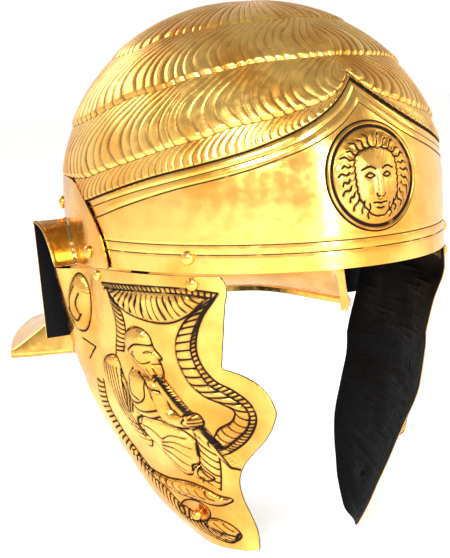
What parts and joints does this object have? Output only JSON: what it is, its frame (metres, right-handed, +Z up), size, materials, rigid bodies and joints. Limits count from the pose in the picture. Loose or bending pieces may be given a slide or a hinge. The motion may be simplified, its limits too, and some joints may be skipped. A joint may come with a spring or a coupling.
{
  "type": "roman cavalry helmet",
  "caption": "Brass sheet helmet: hair-dressed bowl with diadem and face medallion, nape and ear guards, and embossed cheek pieces on hinges.",
  "frame": {"origin": "centre of the head opening, level with the bowl's lower rim, where a head holds the helmet", "axes": "+Z up, -Y to the front of the helmet, +X to the wearer's left"},
  "size_m": [0.2496, 0.2854, 0.3064],
  "materials": {
    "shell_brass": "polished sheet with blackened engraving, black painted inside",
    "cheek_brass": "embossed and engraved sheet, black painted inside",
    "rivet_brass": "polished domed heads",
    "hinge_brass": "dull",
    "pin_steel": "dull"
  },
  "bodies": {
    "shell": {"bowl": "shell_brass", "nape_guard": "shell_brass", "hinge_bowl_leaf_right": "hinge_brass", "hinge_bowl_leaf_left": "hinge_brass", "hinge_pin_right": "pin_steel", "hinge_pin_left": "pin_steel", "bowl_rivet_front_right": "rivet_brass", "bowl_rivet_front_left": "rivet_brass", "bowl_rivet_rear_right": "rivet_brass", "bowl_rivet_rear_left": "rivet_brass", "nape_rivet_right": "rivet_brass", "nape_rivet_left": "rivet_brass"},
    "right_cheek": {"cheek_right": "cheek_brass", "hinge_cheek_leaf_right": "hinge_brass", "cheek_rivet_front_right": "rivet_brass", "cheek_rivet_rear_right": "rivet_brass", "tie_stud_right": "rivet_brass"},
    "left_cheek": {"cheek_left": "cheek_brass", "hinge_cheek_leaf_left": "hinge_brass", "cheek_rivet_front_left": "rivet_brass", "cheek_rivet_rear_left": "rivet_brass", "tie_stud_left": "rivet_brass"}
  },
  "joints": [
    {"name": "right_cheek_hinge", "type": "hinge", "parent": "shell", "child": "right_cheek", "pos_m": [-0.09503, -0.03254, -0.0045], "axis": [-0.2417, 0.9703, 0], "range_deg": [-8, 75]},
    {"name": "left_cheek_hinge", "type": "hinge", "parent": "shell", "child": "left_cheek", "pos_m": [0.09503, -0.03254, -0.0045], "axis": [-0.2417, -0.9703, 0], "range_deg": [-8, 75]}
  ]
}
